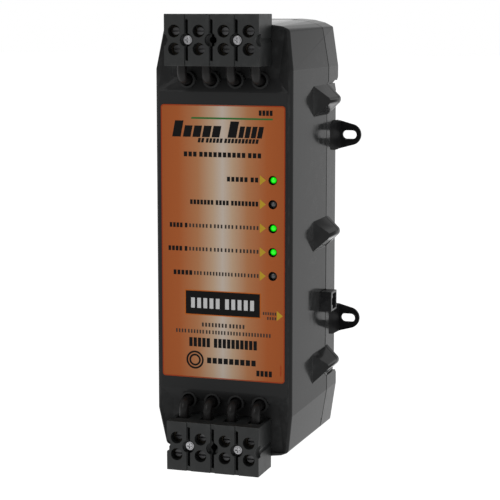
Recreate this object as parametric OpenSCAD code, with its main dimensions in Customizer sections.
// Hard-wired surge protector for a camper's 50 A supply: a two-part plastic
// box on two slotted wall straps, with a four-pole terminal block at each end.
// The wall plane is y = 0, the label faces -Y, and the line block is at the top (+Z).

/* [Housing] */
// Width of the box across its side walls
body_w = 90.6; // [86:0.2:96]
// Height of the box over its domed ends
body_h = 281.6; // [276:0.2:290]
// Distance from the wall to the label face
body_d = 108; // [104:1:116]
// Width of the box at its narrowed ends
end_w = 83.8; // [80:0.2:86]
// Height of the stretch that has the full width
full_w_h = 218.8; // [214:0.2:222]
// Thickness of the moulded walls
wall = 2.5; // [2.2:0.1:2.8]
// Radius of the upright front corners
corner_r = 3.5; // [2.5:0.1:4]
// Distance from the wall to the joint between cover and rear shell
joint_d = 27.7; // [26:0.1:30]
// How much nearer the wall that joint runs at the two ends
joint_step = 4; // [3:0.1:4.5]
// Thickness of the seal in the joint
gasket_t = 1; // [0.8:0.1:1.2]
// Height of the middle of the rear shell, which stands off the wall
middle_h = 196; // [190:1:198]
// How far that middle stands off the wall
middle_gap = 5.5; // [5:0.1:6]

/* [Terminal blocks] */
// Distance between neighbouring poles
pole_pitch = 16.1; // [15.9:0.05:16.3]
// Width of a block
block_w = 61.4; // [60.8:0.2:62]
// Height of a block
block_h = 31.8; // [31:0.2:32.4]
// Depth of a block
block_d = 27; // [26.5:0.1:27.5]
// Height of a block's centre above or below the middle of the box
block_z = 128; // [127:0.5:129]
// Distance between a pole's two clamp screws
clamp_pitch = 10.9; // [10.6:0.1:11.2]
// Radius of the bore that takes a wire
entry_r = 3.4; // [3.3:0.05:3.5]
// Radius of the wider mouth in front of that bore
mouth_r = 3.6; // [3.55:0.05:3.7]
// Radius of a clamp screw
clamp_r = 2.9; // [2.7:0.05:3]

/* [Leads] */
// Outer radius of a lead
lead_r = 3.15; // [3:0.05:3.3]
// Radius of its copper core
core_r = 2.5; // [2.3:0.05:2.6]
// Height of the lead holes above or below the middle of the box
lead_z = 103; // [102.5:0.1:103.5]

/* [Indicators and label] */
// Width of the label
label_w = 82.3; // [80:0.1:84]
// Height of the label
label_h = 175; // [172:0.5:176]
// Distance of the lamp column from the middle
lamp_x = 33.15; // [32:0.05:34]
// Height of the top lamp
lamp_top = 41.2; // [40:0.1:42]
// Distance between neighbouring lamps
lamp_pitch = 15.1; // [14.8:0.1:15.4]
// Radius of a lamp
lamp_r = 2.45; // [2.4:0.05:2.5]

/* [Remote port] */
// Height of the port's centre above the middle of the box
port_z = -45.6; // [-47:0.1:-44]
// How far the port stands out of the side wall
port_out = 7.9; // [7:0.1:8.5]

/* [Wall straps] */
// Height of each strap above or below the middle of the box
strap_z = 63; // [61:0.5:65]
// Distance of a slot's centre from the middle of the box
slot_x = 54.2; // [53.8:0.1:54.6]
// Length of a slot from end to end
slot_l = 10; // [9:0.1:10.4]
// Width of a slot
slot_w = 5.8; // [5:0.1:6]
// Thickness of the strap steel
strap_t = 2.5; // [2:0.1:2.5]

/* [Hidden] */
$fn = 64;
eps = 0.01;
far = 400;
ends = [-1, 1];
poles = [-1.5, -0.5, 0.5, 1.5];

// Housing planes, all measured towards the label from the wall
half_w = body_w / 2;
front_y = -body_d;
end_front_y = front_y + 4.4;
joint_y = -joint_d;
side_joint_y = joint_y - gasket_t / 2;
end_joint_y = joint_y + joint_step;
inner_front_y = front_y + wall;
inner_back_y = -middle_gap - wall;
front_top_z = body_h / 2 - 3;
end_r = 3;
rear_r = 1.5;
dome_flat = 20;
front_dome = 2.6;
rear_dome = 4.8;
dome_x = [dome_flat, 29, 36];

// Pocket behind each terminal block
pocket_y = front_y + 6;
ramp_start = 95.3;
ramp_end = 104.2;
pocket_top = 134.2;
pocket_x0 = 33.6;
pocket_x1 = 40.6;
cheek_slope = 1.5;
collar_r = 5.4;
collar_y = front_y + 1.2;
lead_hole_r = 4.1;

// Screw bosses on the side walls
boss_z = [-88, 0, 88];
boss_out = 8.3;
boss_half = 9.8;
boss_tip_r = 3.6;
boss_front_y = -59.4;
boss_ramp = 10.3;
boss_back_y = -23;
boss_screw_x = half_w + 3.3;
shell_screw_r = 1.7;

// Terminal blocks
block_y = pocket_y;
block_front_y = block_y - block_d;
wire_y = front_y - 7.2;
tube_front_y = wire_y - entry_r - 4;
tube_back_y = wire_y + entry_r + 2;
tube_w = 9.6;
tube_l = 25.8;
plate_t = 0.9;
channel_y = wire_y - entry_r - 1;
screw_len = 5.6;
screw_hole_r = 3.9;
counterbore_r = 4.1;
counterbore_d = 4;
fixing_r = 2.25;
block_screw_r = 1.4;

// Boards
board_t = 1.6;
board_back_y = inner_back_y - 6.4;
board_y = board_back_y - board_t;
board_fix = [for (x = [-36, 36], z = [-86, 0, 86]) [x, z]];
lamp_board_y = -92.4;
lamp_board_front = lamp_board_y - board_t;
lamp_posts = [for (i = [0.5, 3.5]) lamp_top - i * lamp_pitch];

// Remote port
port_w = 13.4;
port_h = 13;
port_back_y = -28.6;
port_front_y = port_back_y - port_w;
port_x = half_w + port_out;
port_in_x = 33;

// Relays
relay_x = 19.5;
relay_z = 45;
relay_axis = 24;
travel = 3.5;
plunger_r = 4.5;
rod_r = 3;
guide_gap = 0.08;
coil_bore = plunger_r + guide_gap;

// Wall straps
strap_h = 20;
strap_bend = 3;
web_y = -20;
strap_y = -middle_gap - strap_t;
strap_screw_x = 25;
slot_r = slot_w / 2;

function dome(x, drop) =
  drop * pow(max(0, abs(x) - dome_flat) / (end_w / 2 - dome_flat), 2);
function lamp_height(i) = lamp_top - i * lamp_pitch;

// Extrudes a side outline, given as [y, z], across the box
module across(width = far) {
  rotate([90, 0, 90]) linear_extrude(width, center = true) children();
}

// Extrudes a front outline, given as [x, z], from y0 back to y1
module deep(y0, y1) {
  translate([0, y1, 0]) rotate([90, 0, 0]) linear_extrude(y1 - y0) children();
}

// A round bar along Y from y0 back to y1
module bar_y(r, x, z, y0, y1) {
  translate([x, y0, z]) rotate([-90, 0, 0]) cylinder(r = r, h = y1 - y0);
}

// Plan of the box at its full width, with round front corners
module plan() {
  r = corner_r;
  translate([-half_w, front_y + r]) square([body_w, body_d - r]);
  translate([-half_w + r, front_y]) square([body_w - 2 * r, body_d]);
  for (s = ends) translate([s * (half_w - r), front_y + r]) circle(r);
}

// Whole outer form of the box, before it is parted: full width in the middle,
// narrowed and domed at both ends
module outer_form() {
  hull() for (t = ends) {
    translate([0, 0, t * (full_w_h - eps) / 2])
      linear_extrude(eps, center = true) plan($fn = 32);
    for (s = ends, x = concat(dome_x, [end_w / 2])) {
      xf = min(x, end_w / 2 - end_r);
      xr = min(x, end_w / 2 - rear_r);
      translate([s * xf, end_front_y + end_r, t * (front_top_z - dome(x, front_dome) - end_r)])
        sphere(end_r, $fn = 24);
      translate([s * xr, -rear_r, t * (body_h / 2 - dome(x, rear_dome) - rear_r)])
        sphere(rear_r, $fn = 16);
    }
  }
}

// Side outline of everything in front of the joint, moved back by shift
module joint_outline(shift) {
  z0 = middle_h / 2 + 0.5;
  half = [[joint_y, z0], [end_joint_y, z0 + 1], [end_joint_y, full_w_h / 2],
          [joint_y, body_h / 2 + 2]];
  polygon(concat(
    [[-far, -far / 2]],
    [for (i = [3:-1:0]) [half[i].x + shift, -half[i].y]],
    [for (p = half) [p.x + shift, p.y]],
    [[-far, far / 2]]));
}

// Space inside both shells
module cavity() {
  side = half_w - wall;
  tip = end_w / 2 - wall;
  tip_z = front_top_z - front_dome - wall - 0.2;
  half_front = [[inner_front_y, ramp_start - 2], [pocket_y + wall, ramp_end - 2],
                [pocket_y + wall, tip_z + 1]];
  half_back = [[-wall, tip_z + 1], [-wall, middle_h / 2 + 6.5],
               [inner_back_y - 3.5, middle_h / 2 + 3],
               [inner_back_y - 3.5, middle_h / 2 - 4], [inner_back_y, middle_h / 2 - 8]];
  profile = concat(half_front, half_back);
  intersection() {
    deep(front_y, 0)
      polygon([[side, -full_w_h / 2], [side, full_w_h / 2], [tip, tip_z], [-tip, tip_z],
               [-side, full_w_h / 2], [-side, -full_w_h / 2], [-tip, -tip_z], [tip, -tip_z]]);
    across() polygon(concat(profile, [for (i = [len(profile) - 1:-1:0])
      [profile[i].x, -profile[i].y]]));
  }
}

// Outline of a screw boss: a point with a rounded tip, standing on the wall. The tip's
// circle is a little larger than one that would only touch the flanks.
module boss_outline() {
  c = boss_out - boss_tip_r * 1.015;
  reach = sqrt(c * c + boss_half * boss_half);
  a = atan2(boss_half, c) - asin(boss_tip_r / reach);
  tangent = reach * cos(asin(boss_tip_r / reach));
  touch = [tangent * cos(a), boss_half - tangent * sin(a)];
  polygon([[-eps * 20, -boss_half], [-eps * 20, boss_half], [0, boss_half], touch,
           [touch.x, -touch.y], [0, -boss_half]]);
  translate([c, 0]) circle(boss_tip_r * 1.015);
}

// Side screw bosses between two planes; the front ones start with a ramp
module side_bosses(y0, y1, ramp) {
  for (s = ends, z = boss_z) difference() {
    translate([s * half_w, 0, z]) mirror([s < 0 ? 1 : 0, 0, 0]) deep(y0, y1) boss_outline();
    if (ramp > 0)
      translate([s * half_w, y0, z]) mirror([s < 0 ? 1 : 0, 0, 0])
        rotate([0, 0, atan2(ramp, boss_out)])
        translate([-25, -25, -15]) cube([60, 25, 30]);
  }
}

// Pocket that one terminal block sits in, at the top
module pocket() {
  intersection() {
    across() polygon([
      [pocket_y - 10, ramp_end - 10 * (ramp_end - ramp_start) / 6],
      [pocket_y, ramp_end], [pocket_y, pocket_top], [pocket_y - 10, pocket_top]]);
    hull() for (p = [[90, pocket_x0], [150, pocket_x1]])
      translate([0, 0, p[0]]) linear_extrude(eps)
        polygon([[-p[1], pocket_y], [p[1], pocket_y],
                 [p[1] + 10 * cheek_slope, pocket_y - 10],
                 [-p[1] - 10 * cheek_slope, pocket_y - 10]]);
  }
  translate([-block_w / 2 - 0.3, pocket_y - 10, block_z - 10])
    cube([block_w + 0.6, 10, 40]);
}

module front_cover() {
  color([0.15, 0.15, 0.155]) difference() {
    union() {
      difference() {
        intersection() {
          outer_form();
          across() joint_outline(-gasket_t / 2);
        }
        cavity();
        pocket();
        mirror([0, 0, 1]) pocket();
      }
      side_bosses(boss_front_y, side_joint_y, boss_ramp);
      for (s = ends, p = poles)
        bar_y(collar_r, p * pole_pitch, s * lead_z, collar_y, pocket_y + wall + 1);
      for (s = ends, x = ends)
        bar_y(4, x * pole_pitch, s * block_z, pocket_y + wall - eps, pocket_y + 12);
      for (z = lamp_posts) bar_y(2.8, lamp_x, z, inner_front_y - eps, lamp_board_front);
    }
    for (s = ends, p = poles)
      bar_y(lead_hole_r, p * pole_pitch, s * lead_z, collar_y - 1, pocket_y + wall + 2);
    for (s = ends, x = ends)
      bar_y(block_screw_r + 0.05, x * pole_pitch, s * block_z, pocket_y - 1, pocket_y + 10);
    for (i = [0:4]) bar_y(lamp_r + 0.45, lamp_x, lamp_height(i), front_y - 1, inner_front_y + 1);
    for (z = lamp_posts) bar_y(1.25, lamp_x, z, lamp_board_front - 6, lamp_board_front + 1);
    for (s = ends, z = boss_z)
      bar_y(shell_screw_r + 0.05, s * boss_screw_x, z, side_joint_y - 18, side_joint_y + 1);
    translate([half_w - 6, port_front_y - 0.1, port_z - port_h / 2 - 0.1])
      cube([12, port_w + 3, port_h + 0.2]);
  }
}

// What the rear shell leaves free towards the wall
module wall_side() {
  m = middle_h / 2;
  half = [[-middle_gap, m - 4.5], [-middle_gap - 2.5, m - 0.5], [-middle_gap - 2.5, m],
          [-3, m + 1.3], [0, m + 4]];
  across() polygon(concat(
    [for (i = [4:-1:0]) [half[i].x, -half[i].y]], half, [[far, m + 4], [far, -m - 4]]));
}

module rear_shell() {
  m = middle_h / 2;
  color([0.2, 0.2, 0.205]) difference() {
    union() {
      difference() {
        outer_form();
        across() joint_outline(gasket_t / 2);
        cavity();
        wall_side();
        for (s = ends, t = ends)
          translate([s * (half_w + 3.4), -11, t * (m + 0.9)]) cube([10, 24, 1.8], center = true);
      }
      side_bosses(joint_y + gasket_t / 2, boss_back_y, 0);
      for (t = ends)
        translate([-half_w + wall / 2, inner_back_y - 3, t * strap_z - 13])
          cube([body_w - wall, 3 + eps, 26]);
      for (p = board_fix) bar_y(3.2, p[0], p[1], board_back_y, inner_back_y + eps);
      for (s = ends, t = ends)
        bar_y(4, s * strap_screw_x, t * strap_z, strap_y - 5.9, inner_back_y);
    }
    for (t = ends)
      translate([0, strap_y + far / 2, t * strap_z])
        cube([far, far, strap_h + 0.2], center = true);
    for (p = board_fix) bar_y(1.25, p[0], p[1], board_back_y - 1, board_back_y + 5);
    for (s = ends, t = ends)
      bar_y(1.55, s * strap_screw_x, t * strap_z, strap_y - 5, strap_y + 1);
    for (s = ends, z = boss_z)
      bar_y(shell_screw_r + 0.05, s * boss_screw_x, z, joint_y - 1, boss_back_y + 1);
  }
}

module shell_gasket() {
  inset = 1.2;
  color([0.05, 0.05, 0.05]) difference() {
    intersection() {
      translate([0, joint_y, 0]) scale((body_w - 2 * inset) / body_w)
        translate([0, -joint_y, 0]) outer_form();
      across() joint_outline(gasket_t / 2);
    }
    across() joint_outline(-gasket_t / 2);
    cavity();
  }
}

module shell_screws() {
  color([0.75, 0.75, 0.77]) for (s = ends, z = boss_z) difference() {
    union() {
      bar_y(shell_screw_r, s * boss_screw_x, z, side_joint_y - 16, boss_back_y + eps);
      bar_y(2.9, s * boss_screw_x, z, boss_back_y, boss_back_y + 2.2);
    }
    for (a = [0, 90]) translate([s * boss_screw_x, boss_back_y + 2.2, z])
      rotate([0, a, 0]) cube([3.4, 2, 0.9], center = true);
  }
}

// One wall strap, centred on z = 0. Each end has a web that runs forward along the
// side wall and stiffens its lug.
module wall_strap() {
  x1 = half_w + strap_bend;
  y1 = -strap_t;
  half = [[half_w, strap_y], [half_w, web_y], [x1, y1], [half_w + 17, y1],
          [half_w + 17, 0], [x1 - 0.9, 0], [half_w - 0.9, strap_y + strap_t]];
  web = [[web_y - eps, 7], [web_y + 3, 9], [web_y + 9, strap_h / 2], [1, strap_h / 2]];
  lug_x = 54.8;
  lug_r = 7.2;
  difference() {
    intersection() {
      linear_extrude(strap_h, center = true)
        polygon(concat(half, [for (i = [6:-1:0]) [-half[i].x, half[i].y]]));
      across() polygon(concat([for (i = [3:-1:0]) [web[i].x, -web[i].y]], web));
      deep(web_y - 1, 1) {
        square([2 * half_w + 2, strap_h], center = true);
        for (s = ends) mirror([s < 0 ? 1 : 0, 0]) {
          polygon([[half_w, -strap_h / 2], [lug_x + 1.6, -lug_r + 0.2],
                   [lug_x + 1.6, lug_r - 0.2], [half_w, strap_h / 2]]);
          translate([lug_x, 0]) circle(lug_r);
        }
      }
    }
    for (s = ends) {
      for (t = ends) bar_y(slot_r, s * slot_x + t * (slot_l / 2 - slot_r), 0, -9, 1);
      translate([s * slot_x, -4, 0]) cube([slot_l - slot_w, 10, slot_w], center = true);
      bar_y(2.1, s * strap_screw_x, 0, strap_y - 1, strap_y + strap_t + 1);
      translate([s * strap_screw_x, strap_y + strap_t - 1.7, 0]) rotate([-90, 0, 0])
        cylinder(r1 = 2.1, r2 = 3.9, h = 1.7 + eps);
    }
  }
}

module upper_wall_strap() {
  color([0.08, 0.08, 0.085]) translate([0, 0, strap_z]) wall_strap();
}

module lower_wall_strap() {
  color([0.08, 0.08, 0.085]) translate([0, 0, -strap_z]) wall_strap();
}

module strap_screws() {
  color([0.75, 0.75, 0.77]) for (s = ends, t = ends)
    translate([s * strap_screw_x, strap_y, t * strap_z]) rotate([-90, 0, 0]) difference() {
      union() {
        translate([0, 0, -4.6]) cylinder(r = 1.5, h = 6);
        translate([0, 0, strap_t - 1.6]) cylinder(r1 = 1.9, r2 = 3.5, h = 1.5);
      }
      for (a = [0, 90]) rotate([0, 0, a]) translate([0, 0, strap_t])
        cube([3.6, 0.8, 1.6], center = true);
    }
}

module front_label() {
  t = 0.35;
  r = 2;
  color([0.72, 0.42, 0.25]) difference() {
    deep(front_y - t, front_y) {
      square([label_w - 2 * r, label_h], center = true);
      square([label_w, label_h - 2 * r], center = true);
      for (s = ends, u = ends)
        translate([s * (label_w / 2 - r), u * (label_h / 2 - r)]) circle(r);
    }
    for (i = [0:4]) bar_y(lamp_r + 0.45, lamp_x, lamp_height(i), front_y - 2, front_y + 1);
  }
}

// A terminal block in its own place at the top; its lead side faces down
module terminal_block() {
  face = block_z - block_h / 2;
  clamps = [block_z - clamp_pitch / 2, block_z + clamp_pitch / 2];
  difference() {
    translate([-block_w / 2, block_front_y, face]) cube([block_w, block_d, block_h]);
    for (x = ends) translate([x * block_w / 2, block_y, face]) rotate([0, 0, 45])
      cube([1.4, 1.4, 200], center = true);
    for (x = [-1, 0, 1]) {
      translate([x * pole_pitch, block_front_y, block_z]) {
        cube([2.7, 1.4, block_h + 1], center = true);
        cube([1.7, 2 * (counterbore_d + 6), 25.2], center = true);
      }
    }
    for (x = [-2, -1, 0, 1, 2]) {
      bar_y(counterbore_r, x * pole_pitch, block_z, block_front_y - 1,
            block_front_y + counterbore_d);
      bar_y(fixing_r, x * pole_pitch, block_z, block_front_y, block_y + 1);
    }
    for (p = poles) translate([p * pole_pitch, 0, 0]) {
      for (z = clamps) bar_y(screw_hole_r, 0, z, block_front_y - 1, tube_front_y + 1);
      translate([-tube_w / 2 - 0.1, tube_front_y - 0.1, block_z - tube_l / 2 - 0.1])
        cube([tube_w + 0.2, tube_back_y - tube_front_y + 0.2, tube_l + 0.2]);
      translate([0, wire_y, face - 1]) cylinder(r = entry_r, h = block_h / 2);
      translate([0, wire_y, block_z]) cylinder(r = mouth_r, h = block_h);
      translate([-4.2, wire_y - 4.2, face - 1]) cube([8.4, 8.4, 2.6]);
    }
  }
}

module line_block() {
  color([0.17, 0.175, 0.18]) terminal_block();
}

module load_block() {
  color([0.17, 0.175, 0.18]) mirror([0, 0, 1]) terminal_block();
}

// The four brass tubes of the upper block, each with a channel for its clamp plate
module clamp_tubes() {
  for (p = poles) translate([p * pole_pitch, 0, block_z]) difference() {
    translate([-tube_w / 2, tube_front_y, -tube_l / 2])
      cube([tube_w, tube_back_y - tube_front_y, tube_l]);
    translate([0, wire_y, -tube_l]) cylinder(r = entry_r, h = 2 * tube_l);
    translate([-3.1, channel_y, 0]) cube([6.2, 3.2, tube_l]);
    for (z = ends)
      bar_y(clamp_r + 0.07, 0, z * clamp_pitch / 2, tube_front_y - 1, wire_y);
  }
}

module line_clamp_tubes() {
  color([0.8, 0.65, 0.3]) clamp_tubes();
}

module load_clamp_tubes() {
  color([0.8, 0.65, 0.3]) mirror([0, 0, 1]) clamp_tubes();
}

// A slotted clamp screw along Y whose working end is at y_end
module clamp_screw(x, z, y_end) {
  translate([x, y_end - screw_len, z]) rotate([-90, 0, 0]) difference() {
    union() {
      translate([0, 0, 0.5]) cylinder(r = clamp_r, h = screw_len - 1);
      cylinder(r1 = clamp_r - 0.5, r2 = clamp_r, h = 0.5);
      translate([0, 0, screw_len - 0.5]) cylinder(r1 = clamp_r, r2 = clamp_r - 0.5, h = 0.5);
    }
    translate([-clamp_r - 1, -0.5, -1]) cube([2 * clamp_r + 2, 1, 2.4]);
  }
}

module lead_screws(side) {
  color([0.75, 0.75, 0.76]) for (p = poles)
    clamp_screw(p * pole_pitch, side * (block_z - clamp_pitch / 2), wire_y - core_r - 0.05);
}

module supply_screw(i, side) {
  color([0.75, 0.75, 0.76])
    clamp_screw(poles[i] * pole_pitch, side * (block_z + clamp_pitch / 2), channel_y);
}

// Clamp plate under one supply screw, turned down at its two edges
module clamp_plate(i, side) {
  color([0.7, 0.7, 0.72])
    translate([poles[i] * pole_pitch, channel_y + 0.05, side * (block_z + clamp_pitch / 2)])
    difference() {
      translate([-2.9, 0, -3.7]) cube([5.8, plate_t, 7.4]);
      for (s = ends) translate([s * 2.9, 0, 0]) rotate([0, 0, 45])
        cube([0.6, 0.6, 10], center = true);
      for (z = [-2.6, 0, 2.6]) translate([0, plate_t, z]) rotate([0, 90, 0])
        cylinder(r = 0.3, h = 8, center = true);
    }
}

module block_screws() {
  head_y = block_front_y + counterbore_d;
  color([0.8, 0.8, 0.82]) for (s = ends, x = ends) difference() {
    union() {
      bar_y(block_screw_r, x * pole_pitch, s * block_z, head_y - eps, pocket_y + 9);
      bar_y(2.1, x * pole_pitch, s * block_z, head_y - 1.9, head_y - 1.1);
      bar_y(2.75, x * pole_pitch, s * block_z, head_y - 1.4, head_y);
    }
    for (a = [0, 90]) translate([x * pole_pitch, head_y - 1.9, s * block_z])
      rotate([0, a, 0]) cube([3.2, 2.2, 0.8], center = true);
  }
}

// One lead of the upper block: back to the board, out of the box and up into its tube
module lead(i) {
  bend = 5;
  jacket_z = block_z - block_h / 2 + 2;
  tip_z = block_z + 1;
  x = poles[i] * pole_pitch;
  bend_y = wire_y + bend;
  bar_y(lead_r, x, lead_z, bend_y, board_y - 6);
  bar_y(core_r, x, lead_z, bend_y - 1, board_y);
  translate([x, bend_y, lead_z + bend]) rotate([0, 90, 0]) rotate([0, 0, -90])
    rotate_extrude(angle = 90, start = 0) translate([bend, 0]) circle(lead_r, $fn = 48);
  translate([x, wire_y, lead_z + bend]) cylinder(r = lead_r, h = jacket_z - lead_z - bend);
  translate([x, wire_y, lead_z + bend - 1])
    cylinder(r = core_r, h = tip_z - lead_z - bend + 1);
}

module line_lead(i) {
  color([0.06, 0.06, 0.06]) lead(i);
}

module load_lead(i) {
  color([0.06, 0.06, 0.06]) mirror([0, 0, 1]) lead(i);
}

// A 5 mm lamp with a domed front, a rim and two legs down to its board
module lamp(i, tint) {
  dome_y = front_y + 0.55 + lamp_r;
  color(tint) {
    translate([lamp_x, dome_y, lamp_height(i)]) sphere(lamp_r);
    bar_y(lamp_r, lamp_x, lamp_height(i), dome_y, -96);
    bar_y(2.85, lamp_x, lamp_height(i), -97, -96);
    for (s = ends) bar_y(0.25, lamp_x + s * 1.27, lamp_height(i), -96 - eps, lamp_board_front);
  }
}

module power_lamp() {
  lamp(0, [0, 1, 0]);
}

module caution_lamp() {
  lamp(1, [0.6, 0.6, 0.6]);
}

module line_1_lamp() {
  lamp(2, [0, 1, 0]);
}

module line_2_lamp() {
  lamp(3, [0, 1, 0]);
}

module surge_lamp() {
  lamp(4, [0.6, 0.6, 0.6]);
}

module indicator_board() {
  low = lamp_height(4) - 7;
  color([0.1, 0.4, 0.2]) difference() {
    translate([lamp_x - 6, lamp_board_front, low])
      cube([12, board_t, lamp_top + 7 - low]);
    for (z = lamp_posts) bar_y(1.4, lamp_x, z, lamp_board_front - 1, lamp_board_y + 1);
  }
}

module main_board() {
  color([0.1, 0.4, 0.2]) difference() {
    translate([-39.5, board_y, -107.5]) cube([79, board_t, 215]);
    for (p = board_fix) bar_y(1.4, p[0], p[1], board_y - 1, board_back_y + 1);
  }
}

// A small cross-headed screw whose head rests on the plane y = seat
module small_screw(x, z, seat, towards) {
  translate([x, seat, z]) rotate([towards * 90, 0, 0]) difference() {
    union() {
      translate([0, 0, -5.5]) cylinder(r = 1.2, h = 5.5 + eps);
      cylinder(r = 2.4, h = 1.5);
    }
    for (a = [0, 90]) rotate([0, 0, a]) translate([0, 0, 1.5])
      cube([2.6, 0.7, 1.6], center = true);
  }
}

module board_screws() {
  color([0.75, 0.75, 0.77]) {
    for (p = board_fix) small_screw(p[0], p[1], board_y, 1);
    for (z = lamp_posts) small_screw(lamp_x, z, lamp_board_y, -1);
  }
}

// Modular socket facing +X, on two feet that stand on the main board
module remote_port() {
  mouth_x = port_x - 12;
  color([0.12, 0.12, 0.125]) difference() {
    union() {
      translate([port_in_x, port_front_y, port_z - port_h / 2])
        cube([port_x - port_in_x, port_w, port_h]);
      for (z = ends) translate([port_in_x, port_back_y - eps, port_z + z * 4.2 - 1.5])
        cube([5, board_y - port_back_y + eps, 3]);
    }
    translate([mouth_x, port_front_y + 3.6, port_z - 5.1]) cube([20, 8.4, 10.2]);
    translate([mouth_x, port_front_y + 1.8, port_z - 2.2]) cube([20, 2.6, 4.4]);
  }
}

module port_contacts() {
  color([0.85, 0.7, 0.3]) for (i = [-2.5:1:2.5])
    translate([0, 0, port_z + i * 1.27]) {
      translate([port_x - 11.9, port_back_y - 4.3, -0.25]) cube([0.6, 2.8, 0.5]);
      translate([port_x - 11.9, port_back_y - 4.3, -0.25])
        rotate([0, 0, 12]) cube([7, 0.4, 0.5]);
    }
}

module varistors() {
  r = 10;
  color([0.15, 0.3, 0.6]) for (x = [6, 14, 22], z = [-20, -70])
    translate([x, board_y - r - 3, z]) {
      rotate([0, 90, 0]) cylinder(r = r, h = 4, center = true);
      rotate([0, 90, 0]) cylinder(r = r - 1, h = 5, center = true);
      for (t = ends) bar_y(0.5, 0, t * 3.75, r - 2, r + 3);
    }
}

module supply_transformer() {
  color([0.45, 0.42, 0.4]) translate([-19, board_y, -50]) {
    translate([-15, -26, -18]) cube([30, 24, 36]);
    translate([-11, -29, -11]) cube([22, 29, 22]);
  }
}

// Relay parts stand on the main board: u across, v out of the board, w up
module at_relay(i) {
  translate([i * relay_x, board_y, relay_z]) children();
}

module relay_frame(i) {
  color([0.85, 0.83, 0.76]) at_relay(i) difference() {
    union() {
      translate([-16.5, -4, -33]) cube([33, 4, 66]);
      translate([-16.5, -44, -33]) cube([33, 44, 4]);
      translate([-16.5, -44, -1]) cube([33, 44, 4]);
      translate([-16.5, -44, 29]) cube([33, 44, 4]);
      for (s = ends) translate([s * 15.5 - 1, -20, -33]) cube([2, 20, 66]);
    }
    translate([0, -relay_axis, -2]) cylinder(r = 4.9, h = 6);
    translate([0, -relay_axis, 28]) cylinder(r = rod_r + guide_gap, h = 6);
  }
}

module relay_coil(i) {
  color([0.75, 0.4, 0.2]) at_relay(i) translate([0, -relay_axis, -28.9])
    rotate_extrude() polygon([[coil_bore, 0], [13.5, 0], [13.5, 1.5], [12, 1.5], [12, 26.3],
                              [13.5, 26.3], [13.5, 27.8], [coil_bore, 27.8]]);
}

// Plunger, crosshead and bridge contact, which move as one riveted piece
module relay_plunger(i) {
  color([0.6, 0.6, 0.63]) at_relay(i) translate([0, -relay_axis, 0]) {
    translate([0, 0, -22]) cylinder(r = plunger_r, h = 34);
    translate([0, 0, 12]) cylinder(r = 8, h = 1.5);
    translate([0, 0, 13]) cylinder(r = 6, h = 6);
    translate([0, 0, 18]) cylinder(r = rod_r, h = 16);
    translate([-14, -3.5, 18.7]) cube([28, 7, 1.5]);
    for (s = ends) translate([s * 11, 0, 14.3 + travel]) cylinder(r = 2.4, h = 1.5);
  }
}

// Return spring between the middle wall of the frame and the crosshead
module relay_spring(i) {
  turns = 4;
  steps = 16;
  r = 7;
  wire = 0.5;
  low = 3.6;
  high = 11.4;
  ring = [for (k = [0:5]) [cos(60 * k), sin(60 * k)] * wire];
  count = turns * steps;
  points = [for (n = [0:count], q = ring)
    let (a = 360 * n / steps, z = low + (high - low) * n / count)
    [(r + q.x) * cos(a), (r + q.x) * sin(a), z + q.y]];
  walls = [for (n = [0:count - 1], k = [0:5])
    [6 * n + k, 6 * n + (k + 1) % 6, 6 * n + 6 + (k + 1) % 6, 6 * n + 6 + k]];
  caps = [[5, 4, 3, 2, 1, 0], [for (k = [0:5]) 6 * count + k]];
  color([0.7, 0.7, 0.72]) at_relay(i) translate([0, -relay_axis, 0])
    polyhedron(points, [for (f = concat(walls, caps)) [for (k = [len(f) - 1:-1:0]) f[k]]]);
}

module relay_fixed_contacts() {
  color([0.85, 0.55, 0.35]) for (i = ends, s = ends) at_relay(i)
    translate([s * 11, 0, 0]) {
      translate([-2.5, -relay_axis - 3, 3 + eps]) cube([5, relay_axis - 1.1, 1.5]);
      translate([-2.5, -relay_axis - 3, 3 + eps]) cube([5, 6, 10]);
      translate([0, -relay_axis, 12]) cylinder(r = 2.4, h = 2.2);
    }
}

front_cover();
rear_shell();
shell_gasket();
shell_screws();
upper_wall_strap();
lower_wall_strap();
strap_screws();
front_label();
line_block();
load_block();
line_clamp_tubes();
load_clamp_tubes();
lead_screws(1);  // line_lead_screws
lead_screws(-1);  // load_lead_screws
block_screws();
power_lamp();
caution_lamp();
line_1_lamp();
line_2_lamp();
surge_lamp();
indicator_board();
main_board();
board_screws();
remote_port();
port_contacts();
varistors();
supply_transformer();
relay_fixed_contacts();
for (i = [0:3]) {
  supply_screw(i, 1);
  supply_screw(i, -1);
  clamp_plate(i, 1);
  clamp_plate(i, -1);
  line_lead(i);
  load_lead(i);
}
for (i = [1, 2]) {
  relay_frame(2 * i - 3);
  relay_coil(2 * i - 3);
  relay_plunger(2 * i - 3);
  relay_spring(2 * i - 3);
}
